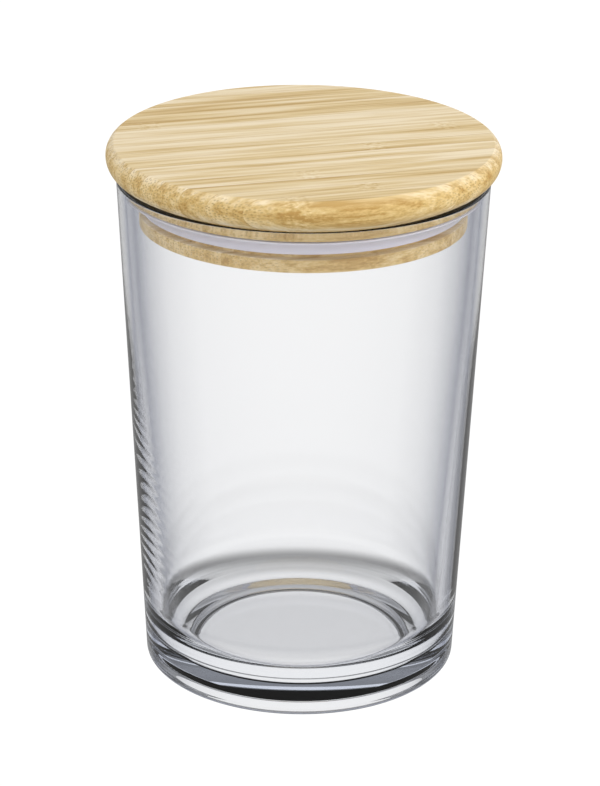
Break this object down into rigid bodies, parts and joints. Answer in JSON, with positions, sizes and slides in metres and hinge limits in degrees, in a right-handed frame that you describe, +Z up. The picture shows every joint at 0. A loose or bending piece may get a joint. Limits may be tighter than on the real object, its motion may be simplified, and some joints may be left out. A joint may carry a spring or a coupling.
{
  "type": "lidded glass canister",
  "caption": "Tapered clear glass canister with a heavy base and a round laminated bamboo lid whose plug carries a silicone sealing ring.",
  "frame": {"origin": "centre of the jar's foot, on the surface that it stands on", "axes": "+Z up along the jar's axis, +Y away from the viewer, +X to the right; the lid's grain runs 16 degrees from +X towards +Y"},
  "size_m": [0.115, 0.115, 0.1643],
  "materials": {
    "glass": "clear, smooth",
    "bamboo": "turned and oiled, satin",
    "silicone": "moulded, satin, translucent white"
  },
  "bodies": {
    "jar": {"glass_jar": "glass"},
    "sealing_ring": {"silicone_gasket": "silicone"},
    "lid": {"bamboo_strip_01": "bamboo", "bamboo_strip_02": "bamboo", "bamboo_strip_03": "bamboo", "bamboo_strip_04": "bamboo", "bamboo_strip_05": "bamboo", "bamboo_strip_06": "bamboo", "bamboo_strip_07": "bamboo", "bamboo_strip_08": "bamboo", "bamboo_strip_09": "bamboo", "bamboo_strip_10": "bamboo", "bamboo_strip_11": "bamboo", "bamboo_strip_12": "bamboo", "bamboo_strip_13": "bamboo", "bamboo_strip_14": "bamboo", "bamboo_strip_15": "bamboo", "bamboo_strip_16": "bamboo"}
  },
  "joints": [
    {"name": "lid_lift", "type": "slide", "parent": "jar", "child": "sealing_ring", "axis": [0, 0, 1], "range_m": [0, 0.06]},
    {"name": "lid_turn", "type": "hinge", "parent": "sealing_ring", "child": "lid", "pos_m": [0, 0, 0.155], "axis": [0, 0, 1], "continuous": true}
  ]
}
